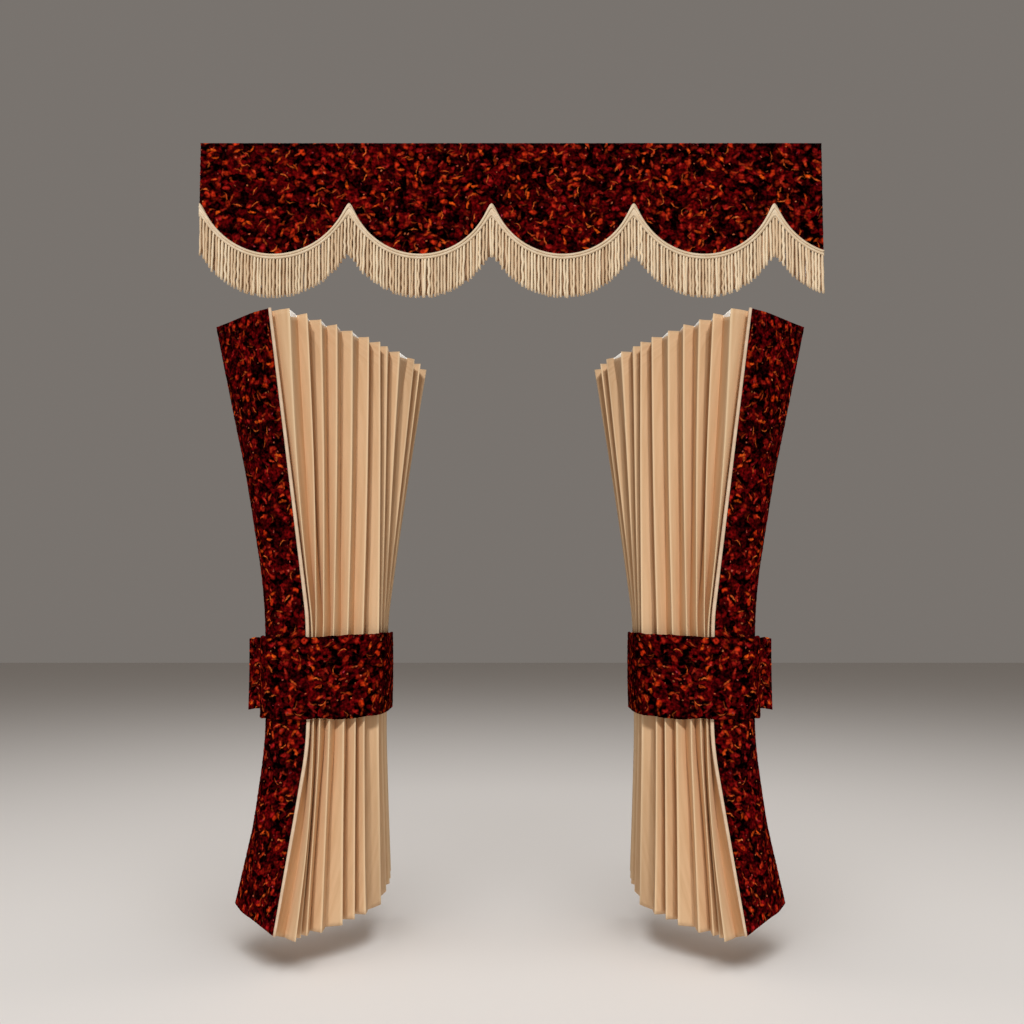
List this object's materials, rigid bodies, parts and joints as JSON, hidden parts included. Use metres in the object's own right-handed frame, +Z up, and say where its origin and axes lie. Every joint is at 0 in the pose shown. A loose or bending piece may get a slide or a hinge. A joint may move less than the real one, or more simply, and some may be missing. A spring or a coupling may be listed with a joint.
{
  "type": "truck cab curtain set",
  "caption": "Fringed scalloped pelmet over two mirrored pleated side curtains, each with a plush border and gathered by a wide plush tie band.",
  "frame": {"origin": "middle of the pelmet's top edge", "axes": "+X to the right as seen from the front, +Y to the back, +Z up; the set hangs below the origin"},
  "size_m": [1.0095, 0.3147, 1.281],
  "materials": {
    "plush": "mottled red, orange and black pile",
    "pleated_cloth": "smooth matt cloth with pressed pleats",
    "edging": "smooth matt strip",
    "heading_tape": "white woven tape",
    "trimming": "woven braid and twisted strands"
  },
  "bodies": {
    "root": {"pelmet_panel": "plush", "pelmet_braid": "trimming", "pelmet_fringe": "trimming", "left_plush_border": "plush", "left_edging": "edging", "left_pleated_cloth": "pleated_cloth", "left_heading_tape": "heading_tape", "left_tie_band": "plush", "right_plush_border": "plush", "right_edging": "edging", "right_pleated_cloth": "pleated_cloth", "right_heading_tape": "heading_tape", "right_tie_band": "plush"}
  },
  "joints": []
}
